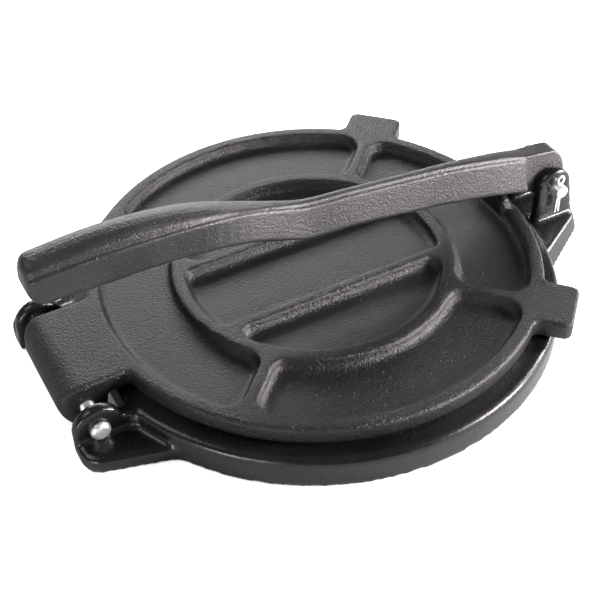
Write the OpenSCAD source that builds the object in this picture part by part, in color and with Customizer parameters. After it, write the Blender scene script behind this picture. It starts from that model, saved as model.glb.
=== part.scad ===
/* [Base] */
// How far the round base stands out past the top plate
base_out = 7.9; // [6.5:0.1:14]
// Height of the base rim above the table
rim_h = 14.6; // [13.5:0.1:15]
// Rounding of the outer edge of the base rim
rim_edge = 3; // [1:0.5:4]
// How far the raised pressing face stops short of the top plate's edge
press_in = 2.5; // [1.5:0.5:11.5]
// Height of the pressing face above the base rim
press_rise = 1.1; // [0.6:0.1:1.6]
// Thickness of the pressing face of the base
press_floor = 5.5; // [4.5:0.5:7]
// Wall of the base skirt
skirt_wall = 7; // [5:0.5:9]
// Height of the stiffening ribs under the base
rib_drop = 4; // [2:0.5:6]
// Thickness of the stiffening ribs under the base
rib_t = 5; // [4:0.5:8]
// Middle radius of the round rib under the base
rib_ring_r = 52; // [35:1:70]
// Rounding of the top edges of the two feet
foot_edge = 1.5; // [0.5:0.1:2.5]

/* [Top plate] */
// Radius of the top plate
plate_r = 101.5; // [101:0.1:102.5]
// Thickness of the top plate at its rim
plate_t = 8.4; // [7.5:0.1:9.5]
// Clearance between the pressing faces at rest
press_gap = 0.3; // [0.2:0.1:1]
// Rounding of the plate edge
plate_edge = 1.2; // [0.5:0.1:2]
// Width of the raised outer rim
rim_w = 6.1; // [4:0.1:8]
// Outer radius of the raised ring
ring_r = 63.2; // [58:0.1:68]
// Width of the raised ring
ring_w = 5.9; // [4:0.1:8]
// Width of each spoke between ring and rim
spoke_w = 5.1; // [4:0.1:8]
// Half width of the middle pocket
band_half = 19.5; // [14:0.5:22]
// Width of each bar beside the middle pocket
bar_w = 4.4; // [3:0.1:6]
// Depth of the pockets
pocket_depth = 4.4; // [3:0.1:5]
// Radius of the fillet at the foot of a pocket wall
pocket_fillet = 3; // [1:0.1:3]
// Wall draft of the pockets in degrees
pocket_draft = 14; // [5:1:20]
// Corner radius of the outer pockets beside the rim
pocket_corner = 9; // [6:0.5:11]
// Corner radius of the outer pockets beside the ring
inner_corner = 7; // [6:0.5:9]
// Corner radius of the pockets inside the ring
ring_corner = 5; // [4.5:0.5:7]

/* [Lugs] */
// How far a lug stands out past the plate's edge
lug_out = 14.6; // [10:0.1:18]
// Width of a lug
lug_w = 26; // [20:0.5:32]
// Corner radius of a lug
lug_corner = 4; // [2:0.5:6]
// Fillet where a lug meets the plate
lug_root = 5; // [3:0.5:8]

/* [Hinge] */
// Distance from the edge of the round base out to the hinge pin
hinge_back = 8.1; // [7.6:0.1:9.6]
// Height of the hinge pin above the table
hinge_h = 12; // [11.6:0.1:13]
// Width of the hinge block
block_w = 49.2; // [40:0.5:56]
// Radius of the rounded end of the hinge block
block_end = 10.4; // [10:0.1:10.8]
// Plan rounding of the hinge block corners
block_corner = 7; // [3:0.5:9]
// Fillet where the hinge block meets the plate
block_root = 6; // [4:0.5:8]
// Side room between the hinge block and each ear
hinge_play = 7.5; // [1:0.5:9]
// Thickness of each hinge ear
hinge_ear_t = 5.5; // [4.5:0.1:7]
// Radius of the rounded top of a hinge ear
hinge_ear_r = 10.6; // [10:0.1:11]
// Diameter of the hinge pin
hinge_pin_d = 6.4; // [5:0.1:7]
// Diameter of the hinge pin head
hinge_head_d = 8.6; // [8:0.1:8.8]
// Height of the hinge foot above the table
hinge_foot_h = 7.6; // [6:0.1:7.6]
// Corner radius of the hinge foot
hinge_foot_corner = 9; // [6:0.5:10]
// Fillet where the hinge foot meets the round base
hinge_foot_root = 14; // [8:0.5:16]
// How far the hinge foot stands out past the ears
hinge_foot_out = 10.6; // [8:0.1:14]
// Angle at which the sides of the hinge foot spread towards the base
hinge_foot_splay = 15; // [5:1:25]

/* [Lever ears] */
// Distance from the edge of the round base out to the lever pin
lever_back = 13.6; // [12.6:0.1:14.6]
// Height of the lever pin above the table
lever_h = 26.4; // [25.8:0.1:27]
// Gap between the two lever ears
fork_gap = 15.4; // [15:0.1:17]
// Thickness of each lever ear
fork_ear_t = 5; // [4.5:0.1:7]
// Radius of the rounded top of a lever ear
fork_ear_r = 9; // [8.5:0.1:9.4]
// Spread of a lever ear's outer edge between its top and its foot
fork_ear_flare = 5; // [2:0.5:6]
// Diameter of the lever pin
lever_pin_d = 6.4; // [5:0.1:7]
// Diameter of the lever pin head
lever_head_d = 9; // [8.6:0.1:10]
// Height of the lever foot above the table
lever_foot_h = 8.2; // [6.5:0.1:9.5]
// How far the lever foot stands out past the ears at the table
lever_foot_out = 4.4; // [3.5:0.1:7]
// Angle at which the sides of the lever foot spread towards the base
lever_foot_splay = 34; // [20:1:40]
// Corner radius of the lever foot, and its fillet against the round base
lever_foot_corner = 6; // [4:0.5:7]
// Slope of the sides of the lever foot, from the table to its top
lever_foot_slope = 3; // [1:0.5:4]

/* [Lever] */
// Side room between the knuckle and each lever ear
knuckle_play = 0.5; // [0.3:0.1:0.8]
// Width of the knuckle along its top
knuckle_top_w = 7.4; // [6:0.1:9]
// Radius of the knuckle around the pin
knuckle_r = 8.2; // [7:0.1:8.6]
// Height of the knuckle's top above the pin
knuckle_rise = 16; // [13:0.5:17]
// Distance from the lever pin back to the end of the bar, where the knuckle stands free
bar_short = 13.8; // [13.4:0.1:15]
// How far the flanks of the bar stand out past the knuckle's top
flank_out = 1.6; // [1:0.1:2.5]
// Width of the bar along its underside at the knuckle
bar_foot_w = 19.6; // [17:0.2:22]
// Width of the bar along its underside at its neck
neck_foot_w = 14; // [12:0.2:18]
// Width of the bar's shoulders at its neck
neck_w = 7; // [6:0.2:9]
// Width of the hand grip
grip_w = 20; // [18:0.2:24]
// Height of the flank of the hand grip
grip_side = 14.2; // [12:0.2:16]
// Crown of the hand grip above its shoulders
grip_crown = 6; // [4:0.2:8]
// Height of the underside of the neck above the plate
neck_lift = 17.6; // [15:0.2:20]
// Height of the flank of the bar
bar_side = 14.6; // [13:0.2:16]
// Height of the underside of the hand grip above the plate
grip_lift = 34; // [32:0.5:38]
// Distance of the grip's end from the middle of the plate
grip_end = 128; // [118:0.5:132]
// Rounding of the end of the grip
grip_round = 5; // [3:0.5:6]
// Distance of the hollow's start under the grip from the middle of the plate
hollow_start = 44; // [40:1:56]
// Wall left around the hollow under the grip
grip_wall = 3.4; // [3:0.1:4.5]

/* [Bearing nub] */
// Distance of the nub from the plate's edge
nub_in = 6.5; // [4.5:0.5:8.5]
// Length of the nub that the lever bears on, across the plate
nub_len = 24; // [20:0.5:28]
// Width of the nub along the plate
nub_w = 5; // [4:0.2:6]
// Height of the nub above the plate
nub_h = 4.4; // [3.6:0.1:5]
// Clearance between the lever and the nub at rest
nub_gap = 0.3; // [0.2:0.1:0.6]

/* [Pins] */
// Radial clearance of a pin in its bores
pin_fit = 0.08; // [0.04:0.01:0.1]
// Height of a pin's domed head
head_h = 2.6; // [2:0.1:3.5]
// Length of a pin past its ear at the split pin end
pin_tail = 5.3; // [5:0.1:8]
// Wire diameter of the split pins
wire_d = 1.3; // [1:0.1:1.5]
// Chamfer at the end of a pin
pin_chamfer = 0.6; // [0.3:0.1:1]
// Angle by which each leg of a split pin is bent outwards
leg_spread = 8; // [4:1:12]
// Length of the legs of a split pin below its pin
leg_len = 11; // [8:0.5:12]
// Angle by which the split pin of the hinge is turned from upright, to clear its foot
hinge_split_turn = 102; // [95:1:105]
// Radius of the eye of a split pin, to the middle of the wire
eye_r = 1.8; // [1.6:0.1:2.5]

/* [Hidden] */
$fn = 96;

// Distances from the middle of the plate, which all follow its radius
base_r = plate_r + base_out;
press_r = plate_r - press_in;
lug_reach = plate_r + lug_out;
hinge_x = base_r + hinge_back;
lever_x = base_r + lever_back;
nub_x = plate_r - nub_in;

// Heights that stack up from the table
press_h = rim_h + press_rise;
plate_z = press_h + press_gap;
top_z = plate_z + plate_t;
under_z = press_h - press_floor;

// Limits of the pockets in the plate
pocket_r = plate_r - rim_w;
ring_in = ring_r - ring_w;

// Circles on which the fillets of the feet, and those of the lugs and the hinge block, end
foot_root_r = base_r - 0.5;
tab_root_r = plate_r - 1;

// Hinge places
block_half = block_w / 2;
hinge_in = block_half + hinge_play;
hinge_out = hinge_in + hinge_ear_t;
hinge_tail_y = hinge_out + pin_tail / 2;
block_end_x = hinge_x + 1;
block_end_z = top_z - block_end;
hinge_sweep = norm([block_end_x - hinge_x, block_end_z - hinge_h]) + block_end + 0.6;
notch_x = hinge_x - hinge_sweep;

// Lever ear places
fork_in = fork_gap / 2;
fork_out = fork_in + fork_ear_t;
fork_tail_y = fork_out + pin_tail / 2;
fork_foot_x = lever_x + fork_ear_r + fork_ear_flare;
middle_x = (fork_foot_x - block_end_x - block_end) / 2;

// Lever places
knuckle_half = fork_in - knuckle_play;
knuckle_top_z = lever_h + knuckle_rise;
shoulder_half = knuckle_top_w / 2 + flank_out;
bar_end_x = lever_x - bar_short;
nub_top = top_z + nub_h;
neck_z = top_z + neck_lift;
grip_z = top_z + grip_lift;
grip_rise = grip_z - neck_z;
grip_half = grip_w / 2;
grip_tip = grip_round - grip_end;
start_crown = grip_crown - 2.6;

// Sections of the lever, from the cut end of the bar by the knuckle to the hand grip
// Place, underside, flank height, half width below, half width of the shoulders, spine side, crown
lever_rows = [
    [bar_end_x, lever_h - 0.5, bar_side + 1.2, bar_foot_w / 2, shoulder_half, 1, 1.6],
    [nub_x, nub_top + nub_gap, bar_side + 1.2, bar_foot_w / 2 - 0.5, shoulder_half - 0.3, 1, 1.6],
    [70, 0.65 * nub_top + 0.35 * neck_z, bar_side + 1, neck_foot_w / 2 + 1.1, neck_w / 2 + 0.6, 1, 1.6],
    [44, 0.38 * nub_top + 0.62 * neck_z, bar_side + 0.2, neck_foot_w / 2 + 0.6, neck_w / 2 + 0.1, 1, 1.6],
    [18, 0.12 * nub_top + 0.88 * neck_z, bar_side - 0.5, neck_foot_w / 2 + 0.5, neck_w / 2, 1, 1.6],
    [-4, neck_z, bar_side, neck_foot_w / 2 + 0.6, neck_w / 2 + 0.1, 1, 1.6],
    [-18, neck_z + 0.28 * grip_rise, bar_side - 0.4, neck_foot_w / 2 + 1, neck_w / 2 + 0.8, 0.8, 1.2],
    [-33, grip_z - 0.38 * grip_rise, grip_side - 0.8, grip_half - 1.2, grip_half - 4.4, 0.6, 1],
    [-54, grip_z - 0.12 * grip_rise, grip_side - 0.4, grip_half - 0.4, grip_half - 1.6, 0.8, start_crown],
    [-76, grip_z, grip_side - 0.4, grip_half, grip_half - 0.7, 1.2, grip_crown - 0.8],
    [-100, grip_z, grip_side, grip_half, grip_half - 0.7, 1.4, grip_crown - 0.4],
    [grip_tip, grip_z + 0.4, grip_side - 1.6, grip_half - 0.4, grip_half - 1, 1.4, grip_crown - 1.2]
];

// A run of points on an arc, from angle a0 to angle a1
function arc(c, r, a0, a1, n = 8) =
    [for (i = [0:n]) c + r * [cos(a0 + (a1 - a0) * i / n), sin(a0 + (a1 - a0) * i / n)]];

// The same outline below the X axis, in reverse order
function flip_y(outline) = [for (i = [len(outline) - 1:-1:0]) [outline[i][0], -outline[i][1]]];

// Outline between two spokes: inner and outer radius, half spoke, inner and outer corner radius
function sector_outline(ri, ro, hw, fi, fo) =
    let (
        c1 = [sqrt(pow(ri + fi, 2) - pow(hw + fi, 2)), hw + fi],
        c2 = [sqrt(pow(ro - fo, 2) - pow(hw + fo, 2)), hw + fo],
        a1 = atan2(c1[1], c1[0]),
        a2 = atan2(c2[1], c2[0])
    )
    concat(
        arc(c1, fi, 180 + a1, 270, 6),
        arc(c2, fo, 270, 360 + a2, 7),
        [for (i = [1:11]) let (a = a2 + (90 - 2 * a2) * i / 12) ro * [cos(a), sin(a)]],
        arc([c2[1], c2[0]], fo, 90 - a2, 180, 7),
        arc([c1[1], c1[0]], fi, 180, 270 - a1, 6),
        [for (i = [1:7]) let (a = 90 - a1 - (90 - 2 * a1) * i / 8) ri * [cos(a), sin(a)]]
    );

// Outline of the round segment beyond the line y = a, inside the radius r
function segment_outline(a, r, f) =
    let (
        c = [sqrt(pow(r - f, 2) - pow(a + f, 2)), a + f],
        t = atan2(c[1], c[0])
    )
    concat(
        arc(c, f, -90, t, 9),
        [for (i = [1:17]) let (b = t + (180 - 2 * t) * i / 18) r * [cos(b), sin(b)]],
        arc([-c[0], c[1]], f, 180 - t, 270, 9)
    );

// Outline of the band |y| < b inside the radius r
function band_outline(b, r, f) =
    let (
        c = [sqrt(pow(r - f, 2) - pow(b - f, 2)), b - f],
        t = atan2(c[1], c[0]),
        right = [for (i = [1:7]) let (a = -t + 2 * t * i / 8) r * [cos(a), sin(a)]]
    )
    concat(
        arc([c[0], -c[1]], f, -90, -t, 6),
        right,
        arc(c, f, t, 90, 6),
        arc([-c[0], c[1]], f, 90, 180 - t, 6),
        -right,
        arc(-c, f, 180 + t, 270, 6)
    );

// Outline of a tab that stands out along +X from a disc of radius r
// side is half its width at the tip, and splay widens it towards the disc, in degrees
function tab_outline(r, reach, side, splay, tip, root) =
    let (
        n = [sin(splay), cos(splay)],
        u = [-cos(splay), sin(splay)],
        g = [reach, side] + root * n,
        f = g - (g * u + sqrt(pow(g * u, 2) - g * g + pow(r + root, 2))) * u,
        a = atan2(f[1], f[0]),
        ty = side - tip * (1 - sin(splay)) / cos(splay),
        upper = concat(
            arc([reach - tip, ty], tip, 0, 90 - splay),
            arc(f, root, 270 - splay, 180 + a),
            [[r * cos(a) - 3, r * sin(a) - 1]]
        )
    )
    concat(flip_y(upper), upper);

// A smooth run through rows of numbers, with so many steps between one row and the next
function smooth(rows, steps) =
    let (m = len(rows))
    [for (k = [0:m - 2]) for (i = [0:(k == m - 2 ? steps : steps - 1)])
        let (
            t = i / steps,
            a = rows[max(k - 1, 0)],
            b = rows[k],
            c = rows[k + 1],
            d = rows[min(k + 2, m - 1)]
        )
        b + t / 2 * (c - a + t * (2 * a - 5 * b + 4 * c - d + t * (3 * b - a - 3 * c + d)))];

// A ring in space at the place x, from the right half of a section and the height of its crown
function in_space(half, crown, x) =
    let (left = [for (i = [len(half) - 1:-1:0]) [-half[i][0], half[i][1]]])
    [for (p = concat(half, [[0, crown]], left)) [x, p[0], p[1]]];

// Right half of a section of the lever, from its underside up to its crown
function half_section(row) =
    let (
        z0 = row[1],
        z1 = row[1] + row[2],
        low = row[3],
        high = row[4],
        step_y = high - flank_out,
        side = row[5],
        dome = row[6] - row[5]
    )
    concat(
        arc([low - 1.5, z0 + 1.5], 1.5, -90, 15, 3),
        arc([high - 1, z1 - 1], 1, 15, 90, 3),
        [[step_y, z1], [step_y - 0.1, z1 + side]],
        [for (a = [22.5:22.5:67.5]) [(step_y - 0.1) * cos(a), z1 + side + dome * sin(a)]]
    );

// Whole section of the lever as points in space
function lever_section(row) = in_space(half_section(row), row[1] + row[2] + row[6], row[0]);

// The XZ outline below, made solid from y0 to y1
module across(y0, y1) {
    translate([0, y1, 0]) rotate([90, 0, 0]) linear_extrude(y1 - y0) children();
}

// A shape and its mirror image on the other side of the middle
module both_sides() {
    children();
    mirror([0, 1, 0]) children();
}

// The press is drawn round the middle of its plate, then moved to the middle of its footprint
module placed() {
    translate([-middle_x, 0, 0]) children();
}

// Solid through a list of rings of points, counterclockwise as seen from the last ring
// hubs are the two points from which the end faces fan out, inside the first ring and the last
module loft(rings, hubs) {
    n = len(rings[0]);
    m = len(rings);
    points = [for (ring = rings) for (p = ring) p];
    sides = [for (k = [0:m - 2]) for (i = [0:n - 1])
        let (j = (i + 1) % n, a = k * n, b = a + n)
        for (f = [[a + i, b + i, a + j], [a + j, b + i, b + j]]) f];
    ends = [for (i = [0:n - 1])
        let (j = (i + 1) % n, a = (m - 1) * n)
        for (f = [[m * n, i, j], [m * n + 1, a + j, a + i]]) f];
    polyhedron(concat(points, hubs), concat(sides, ends));
}

// Solid through a list of outlines with as many points each, one outline for each height
// hub is a point inside them all from which their whole edge can be seen
module layers(outlines, heights, hub) {
    last = len(outlines) - 1;
    loft(
        [for (k = [0:last]) [for (p = outlines[k]) [p[0], p[1], heights[k]]]],
        [for (k = [0, last]) [hub[0], hub[1], heights[k]]]
    );
}

// A pocket with drafted walls and a fillet round its floor, cut down from z = 0
// outline is a function of how far the wall has moved inwards
module pocket(outline, hub) {
    run = (pocket_fillet + (pocket_depth - pocket_fillet) * sin(pocket_draft)) / cos(pocket_draft);
    turns = [90, 70, 50, 32, pocket_draft];
    insets = [for (a = turns) run - pocket_fillet * cos(a)];
    depths = [for (a = turns) pocket_depth - pocket_fillet + pocket_fillet * sin(a)];
    layers(
        concat([for (d = insets) outline(d)], [outline(-tan(pocket_draft))]),
        concat(-depths, [1]),
        hub
    );
}

// Cross section of the round base
module base_section() {
    square([press_r, press_h]);
    square([base_r - rim_edge, rim_h]);
    square([base_r, rim_h - rim_edge]);
    translate([base_r - rim_edge, rim_h - rim_edge]) circle(rim_edge);
}

// Foot under the hinge ears, with a rounded top edge
module hinge_foot() {
    side = hinge_out + hinge_foot_out;
    reach = hinge_x + hinge_ear_r;
    turns = [0, 30, 60, 90];
    outlines = [for (a = turns)
        let (d = foot_edge * (1 - cos(a)), tip = hinge_foot_corner - d, root = hinge_foot_root + d)
        tab_outline(foot_root_r, reach - d, side - d, hinge_foot_splay, tip, root)];
    mirror([1, 0, 0]) layers(
        concat([outlines[0]], outlines),
        concat([0], [for (a = turns) hinge_foot_h - foot_edge * (1 - sin(a))]),
        [foot_root_r, 0]
    );
}

// Foot under the lever ears, with sloping sides and a rounded top edge
module lever_foot() {
    turns = [0, 30, 60, 90];
    insets = concat([0], [for (a = turns) lever_foot_slope + foot_edge * (1 - cos(a))]);
    layers(
        [for (d = insets) tab_outline(
            foot_root_r,
            fork_foot_x - d / 2,
            fork_out + lever_foot_out - d / 2,
            lever_foot_splay - d,
            lever_foot_corner - d / 2,
            lever_foot_corner
        )],
        concat([0], [for (a = turns) lever_foot_h - foot_edge * (1 - sin(a))]),
        [foot_root_r, 0]
    );
}

// One hinge ear from the side, with its web to the base
module hinge_ear_outline() {
    translate([-hinge_x, hinge_h]) circle(hinge_ear_r);
    translate([-hinge_x - hinge_ear_r, 0]) square([2 * hinge_ear_r, hinge_h]);
    translate([-hinge_x, 0]) square([hinge_x - base_r + skirt_wall, rim_h]);
}

// One lever ear from the side: straight towards the plate, flared on its outer edge
module lever_ear_outline() {
    drop = norm([fork_ear_r + fork_ear_flare, lever_h]);
    turn = acos(fork_ear_r / drop) - atan2(lever_h, fork_ear_r + fork_ear_flare);
    translate([lever_x, lever_h]) circle(fork_ear_r);
    polygon([
        [lever_x - fork_ear_r, 0],
        [fork_foot_x, 0],
        [lever_x + fork_ear_r * cos(turn), lever_h + fork_ear_r * sin(turn)],
        [lever_x, lever_h],
        [lever_x - fork_ear_r, lever_h]
    ]);
}

// Ribs under the pressing face: a round one and a cross
module base_ribs() {
    inner_r = base_r - skirt_wall + 1;
    translate([0, 0, under_z - rib_drop]) {
        difference() {
            cylinder(r = rib_ring_r + rib_t / 2, h = rib_drop + 1);
            translate([0, 0, -1]) cylinder(r = rib_ring_r - rib_t / 2, h = rib_drop + 3);
        }
        for (a = [45, 135]) rotate(a) translate([-inner_r, -rib_t / 2, 0])
            cube([2 * inner_r, rib_t, rib_drop + 1]);
    }
}

// Base casting
module base() {
    color([0.13, 0.13, 0.14]) placed() difference() {
        union() {
            difference() {
                union() {
                    rotate_extrude() base_section();
                    hinge_foot();
                    lever_foot();
                    both_sides() across(hinge_in, hinge_out) hinge_ear_outline();
                    both_sides() across(fork_in, fork_out) lever_ear_outline();
                }
                translate([0, 0, -1]) cylinder(r = base_r - skirt_wall, h = under_z + 1);
            }
            base_ribs();
            // Wall behind the notch for the hinge block
            translate([-notch_x, -hinge_in - skirt_wall, 0])
                cube([skirt_wall, 2 * (hinge_in + skirt_wall), under_z + 1]);
        }
        translate([-hinge_x - 2 * hinge_sweep, -hinge_in, -1])
            cube([2 * hinge_sweep + hinge_x - notch_x, 2 * hinge_in, press_h + 2]);
        across(-hinge_out - 1, hinge_out + 1)
            translate([-hinge_x, hinge_h]) circle(hinge_pin_d / 2 + pin_fit);
        across(-fork_out - 1, fork_out + 1)
            translate([lever_x, lever_h]) circle(lever_pin_d / 2 + pin_fit);
    }
}

// Cross section of the plate's disc, with rounded edges
module plate_section() {
    polygon(concat(
        [[0, 0]],
        arc([plate_r - plate_edge, plate_edge], plate_edge, -90, 0, 4),
        arc([plate_r - plate_edge, plate_t - plate_edge], plate_edge, 0, 90, 4),
        [[0, plate_t]]
    ));
}

// Block that carries the plate on the hinge pin, with a rounded end and rounded corners
module hinge_block() {
    reach = block_end_x + block_end;
    intersection() {
        across(-block_half, block_half) {
            translate([-block_end_x, block_end_z]) circle(block_end);
            translate([-block_end_x, plate_z]) square([block_end_x - plate_r + 12, plate_t]);
        }
        mirror([1, 0, 0]) linear_extrude(top_z + 1)
            polygon(tab_outline(tab_root_r, reach, block_half, 0, block_corner, block_root));
    }
}

// Four pockets between the ring, the rim and the spokes
module sector_pockets() {
    hub = (ring_r + pocket_r) / 2 * [cos(45), sin(45)];
    for (a = [45:90:315]) rotate(a) pocket(
        function(d) sector_outline(
            ring_r + d,
            pocket_r - d,
            spoke_w / 2 + d,
            inner_corner - d,
            pocket_corner - d
        ),
        hub
    );
}

// Two round pockets beside the bars inside the ring
module segment_pockets() {
    near_y = band_half + bar_w;
    for (a = [0, 180]) rotate(a) pocket(
        function(d) segment_outline(near_y + d, ring_in - d, ring_corner - d),
        [0, (near_y + ring_in) / 2]
    );
}

// Middle pocket between the bars
module band_pocket() {
    pocket(function(d) band_outline(band_half - d, ring_in - d, ring_corner - d), [0, 0]);
}

// Top plate casting
module top_plate() {
    color([0.15, 0.15, 0.16]) placed() {
        difference() {
            union() {
                translate([0, 0, plate_z]) {
                    rotate_extrude() plate_section();
                    for (a = [-45, 45]) rotate(a) linear_extrude(plate_t)
                        polygon(tab_outline(tab_root_r, lug_reach, lug_w / 2, 0, lug_corner, lug_root));
                }
                hinge_block();
            }
            translate([0, 0, top_z]) sector_pockets();
            translate([0, 0, top_z]) segment_pockets();
            translate([0, 0, top_z]) band_pocket();
            across(-block_half - 1, block_half + 1)
                translate([-hinge_x, hinge_h]) circle(hinge_pin_d / 2 + pin_fit);
        }
        across(-nub_len / 2, nub_len / 2) {
            translate([nub_x, nub_top - nub_w / 2]) circle(nub_w / 2);
            translate([nub_x - nub_w / 2, top_z - pocket_depth - 1])
                square([nub_w, nub_h + pocket_depth + 1 - nub_w / 2]);
        }
    }
}

// Rows of the lever, smoothed, with a rounded end on the grip
function lever_run() =
    let (
        last = lever_rows[len(lever_rows) - 1],
        ends = [for (a = [20, 40, 60, 80])
            let (d = grip_round * (1 - cos(a)))
            last + [-grip_round * sin(a), d, -2 * d, -d, -d, 0, 0]]
    )
    concat(smooth(lever_rows, 4), ends);

// Section of the hollow under the grip
function hollow_section(row) =
    let (
        low = row[3] - grip_wall,
        high = row[4] - grip_wall,
        z1 = row[1] + row[2] - 2.5,
        rise = row[6] + 2.5 - grip_wall,
        roof = [for (a = [0:22.5:67.5]) [high * cos(a), z1 + rise * sin(a)]]
    )
    in_space(concat([[low, row[1] - 2], [low, row[1]]], roof), z1 + rise, row[0]);

// Knuckle of the lever from the side
module knuckle_outline() {
    upper_z = knuckle_top_z - 1 - knuckle_r;
    inside_x = bar_end_x - 3;
    slant = knuckle_r * sqrt(0.5);
    for (z = [lever_h, upper_z]) translate([lever_x, z]) circle(knuckle_r);
    polygon([
        [inside_x, lever_h + 1],
        [inside_x, knuckle_top_z + 0.8],
        [lever_x, knuckle_top_z - 1],
        [lever_x + knuckle_r, upper_z],
        [lever_x + knuckle_r, lever_h],
        [lever_x - slant, lever_h - slant]
    ]);
}

// Knuckle of the lever, which tapers towards its top
module knuckle() {
    top_half = knuckle_top_w / 2;
    taper_z = lever_h + 4;
    high_z = knuckle_top_z + 1;
    intersection() {
        across(-knuckle_half, knuckle_half) knuckle_outline();
        rotate([90, 0, 90]) linear_extrude(lever_x + 2 * knuckle_r) polygon([
            [-knuckle_half, 0],
            [knuckle_half, 0],
            [knuckle_half, taper_z],
            [top_half, high_z],
            [-top_half, high_z],
            [-knuckle_half, taper_z]
        ]);
    }
}

// Solid through rows of the lever, with the section that a function gives for each row
module along(rows, section) {
    last = len(rows) - 1;
    loft(
        [for (i = [last:-1:0]) section(rows[i])],
        [for (i = [last, 0]) [rows[i][0], 0, rows[i][1] + rows[i][2] / 2]]
    );
}

// Lever casting: a tapered bar that sweeps up into a hollow hand grip
module lever() {
    run = lever_run();
    hollow = [for (row = run) if (row[0] < -hollow_start && row[0] > grip_wall + 3 - grip_end) row];
    color([0.2, 0.2, 0.21]) placed() difference() {
        union() {
            along(run, function(row) lever_section(row));
            knuckle();
        }
        along(hollow, function(row) hollow_section(row));
        across(-fork_in, fork_in) translate([lever_x, lever_h]) circle(lever_pin_d / 2 + pin_fit);
    }
}

// Half profile of a domed head, then the shank and its chamfered end, from the head's seat upwards
module pin_section(d, head_d, length) {
    dome_r = (pow(head_d / 2, 2) + pow(head_h - 0.5, 2)) / (2 * (head_h - 0.5));
    intersection() {
        translate([0, dome_r - head_h]) circle(dome_r);
        translate([0, -head_h]) square([head_d / 2, head_h - 0.5]);
    }
    translate([0, -0.5]) square([head_d / 2, 0.5]);
    square([d / 2, length - pin_chamfer]);
    polygon([
        [0, length - pin_chamfer - 0.1],
        [d / 2, length - pin_chamfer - 0.1],
        [d / 2, length - pin_chamfer],
        [d / 2 - pin_chamfer, length],
        [0, length]
    ]);
}

// Pin through two ears, along +Y, with its head against the first ear and a cross hole past the second
module pin(d, head_d, half) {
    difference() {
        translate([0, -half, 0]) rotate([-90, 0, 0])
            rotate_extrude() pin_section(d, head_d, 2 * half + pin_tail);
        translate([0, half + pin_tail / 2, -d]) cylinder(r = wire_d + pin_fit, h = 2 * d);
    }
}

// Split pin round the vertical middle of its hole: a loop above and two half round legs below
module split_pin(d) {
    loop_z = d / 2 + eye_r + wire_d / 2;
    bend_z = -d / 2 - 1;
    translate([0, 0, loop_z]) rotate([90, 0, 0]) rotate([0, 0, -60])
        rotate_extrude(angle = 300) translate([eye_r, 0]) circle(wire_d / 2);
    for (side = [0, 180]) rotate(side) {
        translate([0, 0, bend_z]) linear_extrude(loop_z - eye_r - bend_z) half_round();
        translate([0, 0, bend_z + 0.3]) rotate([0, 180 - leg_spread, 0])
            mirror([1, 0, 0]) linear_extrude(leg_len - 0.7) half_round();
    }
}

// Section of one leg of a split pin
module half_round() {
    intersection() {
        circle(wire_d);
        translate([0.1, -wire_d]) square([wire_d, 2 * wire_d]);
    }
}

// Pin of the plate hinge
module hinge_pin() {
    color([0.75, 0.75, 0.77]) placed() translate([-hinge_x, 0, hinge_h])
        rotate([0, -hinge_split_turn, 0]) pin(hinge_pin_d, hinge_head_d, hinge_out);
}

// Split pin of the plate hinge
module hinge_split_pin() {
    color([0.75, 0.75, 0.77]) placed() translate([-hinge_x, hinge_tail_y, hinge_h])
        rotate([0, -hinge_split_turn, 0]) split_pin(hinge_pin_d);
}

// Pin of the lever
module lever_pin() {
    color([0.75, 0.75, 0.77]) placed() translate([lever_x, 0, lever_h]) mirror([0, 1, 0])
        pin(lever_pin_d, lever_head_d, fork_out);
}

// Split pin of the lever
module lever_split_pin() {
    color([0.75, 0.75, 0.77]) placed() translate([lever_x, -fork_tail_y, lever_h]) split_pin(lever_pin_d);
}

base();
top_plate();
lever();
hinge_pin();
hinge_split_pin();
lever_pin();
lever_split_pin();
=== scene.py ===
from math import cos, radians, sin

import bmesh
import bpy
from mathutils import Matrix, Vector


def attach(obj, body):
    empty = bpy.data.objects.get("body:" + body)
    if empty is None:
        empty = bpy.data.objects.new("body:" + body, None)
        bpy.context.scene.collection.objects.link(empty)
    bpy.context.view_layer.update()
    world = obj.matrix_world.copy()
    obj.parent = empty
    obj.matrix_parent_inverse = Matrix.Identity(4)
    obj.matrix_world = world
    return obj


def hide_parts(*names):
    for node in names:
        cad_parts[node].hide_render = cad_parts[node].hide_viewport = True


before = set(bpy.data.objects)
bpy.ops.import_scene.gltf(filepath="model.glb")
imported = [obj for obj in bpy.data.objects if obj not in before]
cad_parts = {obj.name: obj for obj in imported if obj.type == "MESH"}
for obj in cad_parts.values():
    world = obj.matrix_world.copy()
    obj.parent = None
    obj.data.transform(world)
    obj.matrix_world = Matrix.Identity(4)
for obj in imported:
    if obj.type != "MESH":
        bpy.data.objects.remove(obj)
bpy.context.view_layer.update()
MM = 0.001

# Camera
# The photograph looks down on the hinge side from the left, from about half a metre away,
# through a lens a little longer than normal. The picture is 600 by 600.
azimuth = radians(-27.687)
elevation = radians(42.557)
roll = radians(-0.964)
camera_distance = 518.9 * MM
camera_target = Vector((-22.40, -21.35, 24.36)) * MM
camera_back = Vector((sin(azimuth) * cos(elevation), -cos(azimuth) * cos(elevation), sin(elevation)))
level_right = Vector((cos(azimuth), sin(azimuth), 0))
level_up = camera_back.cross(level_right)
camera_right = cos(roll) * level_right + sin(roll) * level_up
camera_up = cos(roll) * level_up - sin(roll) * level_right
camera_data = bpy.data.cameras.new("camera")
camera_data.sensor_width = 36
camera_data.lens = 72.92
camera = bpy.data.objects.new("camera", camera_data)
camera.matrix_world = Matrix((camera_right, camera_up, camera_back)).transposed().to_4x4()
camera.location = camera_target + camera_back * camera_distance
bpy.context.scene.collection.objects.link(camera)
bpy.context.scene.camera = camera


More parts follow.
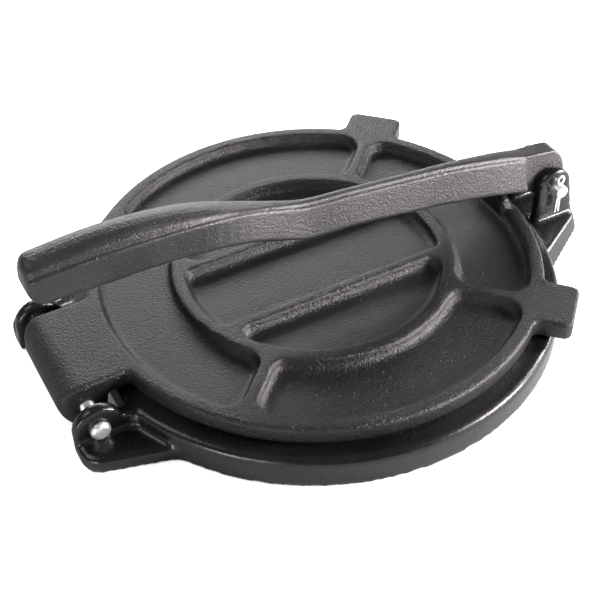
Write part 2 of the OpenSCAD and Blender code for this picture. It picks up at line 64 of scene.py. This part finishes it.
# Base casting
# One iron casting: a shallow round pan turned upside down, with two hinge ears on the left
# and a fork for the lever on the right. It is shaken out of a sand mould and coated satin black.
def noise(tree, where, scale, detail, roughness=0.5):
    node = tree.nodes.new("ShaderNodeTexNoise")
    node.inputs["Scale"].default_value = scale
    node.inputs["Detail"].default_value = detail
    node.inputs["Roughness"].default_value = roughness
    tree.links.new(where, node.inputs["Vector"])
    return node.outputs["Fac"]


def spread(tree, value, low, high, new_low, new_high):
    node = tree.nodes.new("ShaderNodeMapRange")
    node.interpolation_type = "SMOOTHSTEP"
    tree.links.new(value, node.inputs["Value"])
    for name, number in (("From Min", low), ("From Max", high), ("To Min", new_low), ("To Max", new_high)):
        node.inputs[name].default_value = number
    return node.outputs["Result"]


def combine(tree, operation, a, b):
    node = tree.nodes.new("ShaderNodeMath")
    node.operation = operation
    for socket, value in zip(node.inputs, (a, b)):
        if isinstance(value, (int, float)):
            socket.default_value = value
        else:
            tree.links.new(value, socket)
    return node.outputs[0]


def sand_grain():
    """The skin that sand leaves on iron: grains, pits, low waves and patches of shine."""
    group = bpy.data.node_groups.new("sand_grain", "ShaderNodeTree")
    for name, value in (("Grain", 1.0), ("Waves", 1.0)):
        group.interface.new_socket(name, in_out="INPUT", socket_type="NodeSocketFloat").default_value = value
    for name in ("Height", "Gloss", "Shade"):
        group.interface.new_socket(name, in_out="OUTPUT", socket_type="NodeSocketFloat")
    given = group.nodes.new("NodeGroupInput")
    made = group.nodes.new("NodeGroupOutput")
    place = group.nodes.new("ShaderNodeTexCoord").outputs["Object"]
    fine = noise(group, place, 2400, 2)
    coarse = noise(group, place, 900, 3, 0.6)
    waves = noise(group, place, 70, 2)
    patches = noise(group, place, 22, 4, 0.6)
    pits = spread(group, noise(group, place, 800, 1), 0.62, 0.74, 0, 1)
    grain = combine(group, "ADD", combine(group, "MULTIPLY", fine, 0.35), coarse)
    grain = combine(group, "SUBTRACT", grain, combine(group, "MULTIPLY", pits, 0.3))
    grain = combine(group, "MULTIPLY", grain, given.outputs["Grain"])
    waves = combine(group, "MULTIPLY", waves, given.outputs["Waves"])
    height = combine(group, "ADD", grain, combine(group, "MULTIPLY", waves, 0.9))
    group.links.new(height, made.inputs["Height"])
    patchy = combine(group, "MULTIPLY", patches, 0.6)
    gloss = combine(group, "ADD", patchy, combine(group, "MULTIPLY", coarse, 0.4))
    group.links.new(gloss, made.inputs["Gloss"])
    group.links.new(patches, made.inputs["Shade"])
    return group


grain_group = sand_grain()
sand_depth = 0.2 * MM


def black_iron(name, grain, waves, low_rough, high_rough, dark, light):
    """Satin black iron, coarser or finer in grain and shinier or duller by the mould it left."""
    material = bpy.data.materials.new(name)
    material.use_nodes = True
    tree = material.node_tree
    shader = tree.nodes["Principled BSDF"]
    grains = tree.nodes.new("ShaderNodeGroup")
    grains.node_tree = grain_group
    grains.inputs["Grain"].default_value = grain
    grains.inputs["Waves"].default_value = waves
    bump = tree.nodes.new("ShaderNodeBump")
    bump.inputs["Strength"].default_value = 1
    bump.inputs["Distance"].default_value = sand_depth
    tree.links.new(grains.outputs["Height"], bump.inputs["Height"])
    tree.links.new(bump.outputs["Normal"], shader.inputs["Normal"])
    rough = spread(tree, grains.outputs["Gloss"], 0.35, 0.65, low_rough, high_rough)
    tree.links.new(rough, shader.inputs["Roughness"])
    colour = tree.nodes.new("ShaderNodeMix")
    colour.data_type = "RGBA"
    tree.links.new(spread(tree, grains.outputs["Shade"], 0.35, 0.65, 0, 1), colour.inputs["Factor"])
    colour.inputs["A"].default_value = (*dark, 1)
    colour.inputs["B"].default_value = (*light, 1)
    tree.links.new(colour.outputs["Result"], shader.inputs["Base Color"])
    shader.inputs["Specular Tint"].default_value = (1, 0.93, 0.96, 1)
    return material


def cast(node, name, voxel, passes, material):
    """A casting of the CAD part as the foundry pours it: every edge and inner corner softened."""
    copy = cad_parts[node].data.copy()
    mesh = bmesh.new()
    mesh.from_mesh(copy)
    bmesh.ops.remove_doubles(mesh, verts=mesh.verts, dist=0.002 * MM)
    mesh.to_mesh(copy)
    mesh.free()
    piece = bpy.data.objects.new(name, copy)
    bpy.context.scene.collection.objects.link(piece)
    remesh = piece.modifiers.new("remesh", "REMESH")
    remesh.mode = "VOXEL"
    remesh.voxel_size = voxel
    soften = piece.modifiers.new("soften", "SMOOTH")
    soften.factor = 0.5
    soften.iterations = passes
    graph = bpy.context.evaluated_depsgraph_get()
    shaped = bpy.data.meshes.new_from_object(piece.evaluated_get(graph))
    piece.modifiers.clear()
    piece.data = shaped
    shaped.shade_smooth()
    shaped.materials.clear()
    shaped.materials.append(material)
    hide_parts(node)
    return piece


base_iron = black_iron("base_iron", 0.3, 0.6, 0.22, 0.34, (0.0060, 0.0055, 0.0058), (0.0100, 0.0092, 0.0098))
base = cast("base", "base_casting", 1.1 * MM, 8, base_iron)
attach(base, "base")

# Top plate casting
# A round iron plate that swings on the hinge pin, with a wide block at the hinge, two lugs at
# the front corners, and a raised rim, ring, spokes and bars on top that stiffen it.
plate_iron = black_iron("plate_iron", 2.6, 0.8, 0.28, 0.41,
                        (0.0055, 0.0051, 0.0054), (0.0095, 0.0087, 0.0093))
plate = cast("top_plate", "top_plate_casting", 0.95 * MM, 3, plate_iron)
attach(plate, "top_plate")

# Lever casting
# The long iron lever pivots between the fork's ears. Its knuckle is cast thin, the bar is
# tapered, and it sweeps up into a broad grip that is hollow underneath.
# The lever's colour is the same satin black as the base and plate, made about three times lighter: the
# lightening is a painted reflection of the white surroundings on its flank.
lever_iron_painted_sheen = black_iron("lever_iron_painted_sheen", 1.4, 0.5, 0.30, 0.42, (0.019, 0.018, 0.0188), (0.030, 0.028, 0.0295))
lever = cast("lever", "lever_casting", 0.5 * MM, 3, lever_iron_painted_sheen)
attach(lever, "lever")


# Pins and split pins
# Bright zinc-plated steel: two domed-head pins through the castings, each kept in by a split
# pin of bent wire through a cross hole in its tail.
def bright_steel():
    material = bpy.data.materials.new("bright_steel")
    material.use_nodes = True
    tree = material.node_tree
    shader = tree.nodes["Principled BSDF"]
    shader.inputs["Metallic"].default_value = 0.8
    place = tree.nodes.new("ShaderNodeTexCoord").outputs["Object"]
    stain = noise(tree, place, 400, 3)
    tree.links.new(spread(tree, stain, 0.3, 0.7, 0.30, 0.46), shader.inputs["Roughness"])
    colour = tree.nodes.new("ShaderNodeMix")
    colour.data_type = "RGBA"
    tree.links.new(spread(tree, noise(tree, place, 150, 2), 0.35, 0.65, 0, 1), colour.inputs["Factor"])
    colour.inputs["A"].default_value = (0.74, 0.74, 0.75, 1)
    colour.inputs["B"].default_value = (0.90, 0.90, 0.91, 1)
    tree.links.new(colour.outputs["Result"], shader.inputs["Base Color"])
    bump = tree.nodes.new("ShaderNodeBump")
    bump.inputs["Strength"].default_value = 0.2
    bump.inputs["Distance"].default_value = 0.05 * MM
    tree.links.new(noise(tree, place, 2500, 2), bump.inputs["Height"])
    tree.links.new(bump.outputs["Normal"], shader.inputs["Normal"])
    return material


def split_pin(name, node, place, turn):
    """One bent wire: a long eye above the pin, its neck in the cross hole, and two legs below."""
    curve = bpy.data.curves.new(name, "CURVE")
    curve.dimensions = "3D"
    curve.resolution_u = 6
    curve.bevel_depth = wire_radius
    curve.bevel_resolution = 4
    curve.use_fill_caps = True
    wire = curve.splines.new("BEZIER")
    leg = [(0.95, -12.6), (0.75, -6.5), (0.6, -3.4), (0.6, 3.2), (1.75, 5.6)]
    eye_top = (0, 7.9)
    run = [(-x, z) for x, z in leg] + [eye_top] + leg[::-1]
    wire.bezier_points.add(len(run) - 1)
    for point, (x, z) in zip(wire.bezier_points, run):
        point.co = (x * MM, 0, z * MM)
        point.handle_left_type = point.handle_right_type = "AUTO"
    piece = bpy.data.objects.new(name, curve)
    bpy.context.scene.collection.objects.link(piece)
    graph = bpy.context.evaluated_depsgraph_get()
    mesh = bpy.data.meshes.new_from_object(piece.evaluated_get(graph))
    bpy.data.objects.remove(piece)
    mesh.transform(Matrix.Translation(place) @ Matrix.Rotation(turn, 4, "Y"))
    mesh.shade_smooth()
    mesh.materials.clear()
    mesh.materials.append(steel)
    piece = bpy.data.objects.new(name, mesh)
    bpy.context.scene.collection.objects.link(piece)
    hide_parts(node)
    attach(piece, "base")


def headed_pin(name, node, radius, head_radius, start, length, way):
    """A turned pin along Y: a domed head, a plain shank and a chamfered end."""
    mesh = bmesh.new()
    along = Matrix.Rotation(radians(-90) * way, 4, "X")
    head = (head_radius, -head_height, 0, -head_height, head_dome, 8)
    shank = (radius, 0, length, length, end_chamfer, 2)
    for ring_radius, low, high, tip, softening, steps in (head, shank):
        middle = Vector(start) + Vector((0, way * (low + high) / 2, 0))
        bmesh.ops.create_cone(mesh, cap_ends=True, segments=64, radius1=ring_radius, radius2=ring_radius,
                              depth=high - low, matrix=Matrix.Translation(middle) @ along)
        tip_y = start[1] + way * tip
        rim = [edge for edge in mesh.edges if all(abs(v.co.y - tip_y) < 0.01 * MM for v in edge.verts)]
        bmesh.ops.bevel(mesh, geom=rim, offset=softening, segments=steps, profile=0.5,
                        affect="EDGES", material=-1)
    data = bpy.data.meshes.new(name)
    mesh.to_mesh(data)
    mesh.free()
    data.shade_smooth()
    data.materials.append(steel)
    piece = bpy.data.objects.new(name, data)
    bpy.context.scene.collection.objects.link(piece)
    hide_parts(node)
    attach(piece, "base")


steel = bright_steel()
pin_radius = 3.2 * MM
head_height = 2.6 * MM
head_dome = 2.0 * MM
end_chamfer = 0.6 * MM
wire_radius = 0.62 * MM
hinge_head = Vector((-121.55, -37.6, 12)) * MM
hinge_cross_hole = Vector((-121.55, 40.25, 12)) * MM
lever_head = Vector((118.95, 12.7, 26.4)) * MM
lever_cross_hole = Vector((118.95, -15.35, 26.4)) * MM
headed_pin("hinge_pin_turned", "hinge_pin", pin_radius, 4.3 * MM, hinge_head, 80.5 * MM, 1)
headed_pin("lever_pin_turned", "lever_pin", pin_radius, 4.5 * MM, lever_head, 30.7 * MM, -1)
split_pin("hinge_split_pin_bent", "hinge_split_pin", hinge_cross_hole, radians(-102))
split_pin("lever_split_pin_bent", "lever_split_pin", lever_cross_hole, 0)


# Floor and light
# A white sweep under five soft studio lamps: a long one behind, one overhead, and three low
# ones that draw the highlights along the rims, the lever's flank and the hinge.
def area_lamp(name, position, target, size, power):
    data = bpy.data.lights.new(name, "AREA")
    data.shape = "RECTANGLE"
    data.size, data.size_y = size
    data.energy = power
    lamp = bpy.data.objects.new(name, data)
    lamp.location = position
    lamp.rotation_euler = (Vector(target) - Vector(position)).to_track_quat("-Z", "Y").to_euler()
    bpy.context.scene.collection.objects.link(lamp)


area_lamp("behind", (0.28, 0.92, 0.36), (0, 0.05, 0), (0.9, 0.25), 8)
area_lamp("overhead", (-0.55, 0.25, 0.75), (-0.08, 0, 0), (0.5, 0.4), 2.0)
area_lamp("front", (0.68, -0.60, 0.28), (0.02, 0, 0.03), (0.3, 0.2), 19)
area_lamp("left", (-0.75, -0.45, 0.12), (-0.1, 0, 0.02), (0.3, 0.15), 2.5)
area_lamp("right", (0.80, -0.12, 0.30), (0.05, 0, 0), (0.15, 0.4), 9)

floor_mesh = bmesh.new()
bmesh.ops.create_grid(floor_mesh, x_segments=1, y_segments=1, size=3)
bmesh.ops.translate(floor_mesh, vec=(0, 0, -0.3 * MM), verts=floor_mesh.verts)
floor_data = bpy.data.meshes.new("floor")
floor_mesh.to_mesh(floor_data)
floor_mesh.free()
floor = bpy.data.objects.new("floor", floor_data)
bpy.context.scene.collection.objects.link(floor)
floor_material = bpy.data.materials.new("white_sweep")
floor_material.use_nodes = True
floor_tree = floor_material.node_tree
floor_shader = floor_tree.nodes["Principled BSDF"]
floor_shader.inputs["Base Color"].default_value = (0.9, 0.9, 0.9, 1)
floor_shader.inputs["Roughness"].default_value = 0.9
floor_shader.inputs["Emission Color"].default_value = (1, 1, 1, 1)
seen = floor_tree.nodes.new("ShaderNodeLightPath").outputs["Is Camera Ray"]
# Ambient occlusion dims the camera-seen glow of the floor near and under the castings and in the gaps
# between them: a painted contact shadow.
shade = floor_tree.nodes.new("ShaderNodeAmbientOcclusion")
shade.samples = 8
shade.inputs["Distance"].default_value = 28 * MM
painted_shadow_mask = combine(floor_tree, "MULTIPLY", seen, shade.outputs["AO"])
glow_with_painted_shadow = combine(floor_tree, "MULTIPLY", painted_shadow_mask, 1.9)
floor_tree.links.new(glow_with_painted_shadow, floor_shader.inputs["Emission Strength"])
floor_data.materials.append(floor_material)

world = bpy.data.worlds.new("studio")
world.use_nodes = True
world_tree = world.node_tree
rays = world_tree.nodes.new("ShaderNodeLightPath")
world_light = world_tree.nodes["Background"]
world_light.inputs["Color"].default_value = (1, 1, 1, 1)
backdrop_seen = combine(world_tree, "MULTIPLY", rays.outputs["Is Camera Ray"], 0.94)
backdrop_mirrored = combine(world_tree, "MULTIPLY", rays.outputs["Is Glossy Ray"], 0.12)
backdrop = combine(world_tree, "ADD", backdrop_seen, backdrop_mirrored)
backdrop = combine(world_tree, "ADD", backdrop, 0.05)
world_tree.links.new(backdrop, world_light.inputs["Strength"])
bpy.context.scene.world = world
bpy.context.scene.view_settings.view_transform = "Standard"
